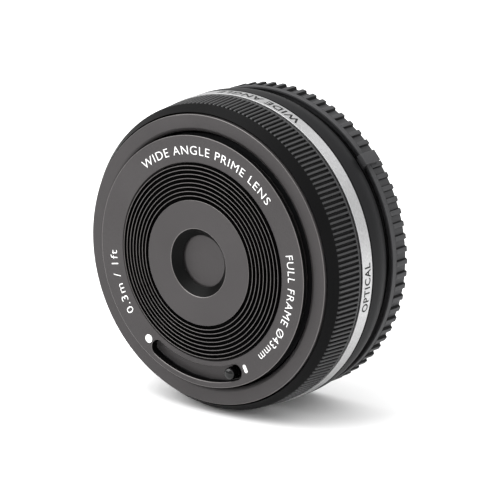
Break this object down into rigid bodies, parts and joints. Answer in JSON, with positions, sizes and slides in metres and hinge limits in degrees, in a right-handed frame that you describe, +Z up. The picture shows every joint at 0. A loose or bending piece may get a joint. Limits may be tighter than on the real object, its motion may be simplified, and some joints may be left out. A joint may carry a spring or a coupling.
{
  "type": "prime camera lens",
  "caption": "Thin prime camera lens with a sliding front cover, ribbed grip ring, bright trim ring, bayonet mount and pull-off rear cap.",
  "frame": {"origin": "middle of the bounding box's underside, where the lens rests on its rim", "axes": "+Z up, optical axis along Y, the lens looks along -Y and the rear cap is at +Y"},
  "size_m": [0.0604, 0.0264, 0.0603],
  "materials": {
    "blasted_alloy": "bead-blasted dark grey anodising",
    "black_paint": "satin black",
    "satin_silver": "satin bright, fine turned grain",
    "black_alloy": "smooth satin black anodising",
    "black_gloss": "polished black",
    "black_plastic": "matt black",
    "cap_plastic": "fine matt moulding",
    "steel": "bright",
    "chrome": "polished plating",
    "copper": "lacquered copper winding",
    "magnet": "nickel plated",
    "glass": "coated optical glass",
    "circuit": "solder-masked circuit board",
    "flex_film": "amber film",
    "gold": "gold plated"
  },
  "bodies": {
    "lens_body": {"front_plate": "blasted_alloy", "front_bezel": "blasted_alloy", "front_barrel": "black_paint", "grip_ring": "black_paint", "trim_ring": "satin_silver", "rear_barrel": "black_alloy", "main_chassis": "black_alloy", "cover_pivot_pin": "steel", "cover_base_plate": "black_alloy", "detent_spring": "steel", "front_cell": "black_alloy", "front_retainer_ring": "black_alloy", "aperture_stop": "black_paint", "rear_cell": "black_alloy", "rear_retainer_ring": "black_alloy", "magnet_upper": "magnet", "magnet_lower": "magnet", "yoke_upper": "steel", "yoke_lower": "steel", "guide_rod_1": "steel", "guide_rod_2": "steel", "position_sensor": "black_plastic", "main_board": "circuit", "driver_chip": "black_plastic", "processor_chip": "black_plastic", "flex_cable": "flex_film", "contact_block": "black_plastic", "rear_baffle": "black_plastic", "bayonet_mount": "chrome", "mount_shim": "steel", "lens_element_1": "glass", "lens_element_2": "glass", "lens_element_5": "glass", "lens_element_6": "glass", "contact_pin_1": "gold", "contact_pin_2": "gold", "contact_pin_3": "gold", "contact_pin_4": "gold", "contact_pin_5": "gold", "contact_pin_6": "gold", "contact_pin_7": "gold", "contact_pin_8": "gold", "contact_pin_9": "gold", "contact_pin_10": "gold", "mount_screw_1": "black_alloy", "mount_screw_2": "black_alloy", "mount_screw_3": "black_alloy", "mount_screw_4": "black_alloy"},
    "cover_lever": {"cover_lever_knob": "black_gloss", "cover_ring": "blasted_alloy", "cover_drive_pin": "steel"},
    "cover_blade": {"cover_blade": "blasted_alloy"},
    "focus_group": {"focus_carriage": "black_plastic", "lens_element_3": "glass", "lens_element_4": "glass", "focus_retainer_ring": "black_alloy", "voice_coil": "copper", "sensor_scale": "magnet"},
    "rear_cap": {"rear_cap": "cap_plastic"}
  },
  "joints": [
    {"name": "cover_turn", "type": "hinge", "parent": "lens_body", "child": "cover_lever", "pos_m": [0, -0.01, 0.03015], "axis": [0, 1, 0], "range_deg": [0, 48]},
    {"name": "blade_swing", "type": "hinge", "parent": "lens_body", "child": "cover_blade", "pos_m": [0.00044, -0.0109, 0.03864], "axis": [0, 1, 0], "range_deg": [0, 91.2]},
    {"name": "focus_slide", "type": "slide", "parent": "lens_body", "child": "focus_group", "axis": [0, -1, 0], "range_m": [0, 0.0012]},
    {"name": "cap_pull", "type": "slide", "parent": "lens_body", "child": "rear_cap", "axis": [0, 1, 0], "range_m": [0, 0.018]}
  ],
  "couplings": [
    {"joint": "blade_swing", "follows": "cover_turn", "ratio": 1.9}
  ]
}
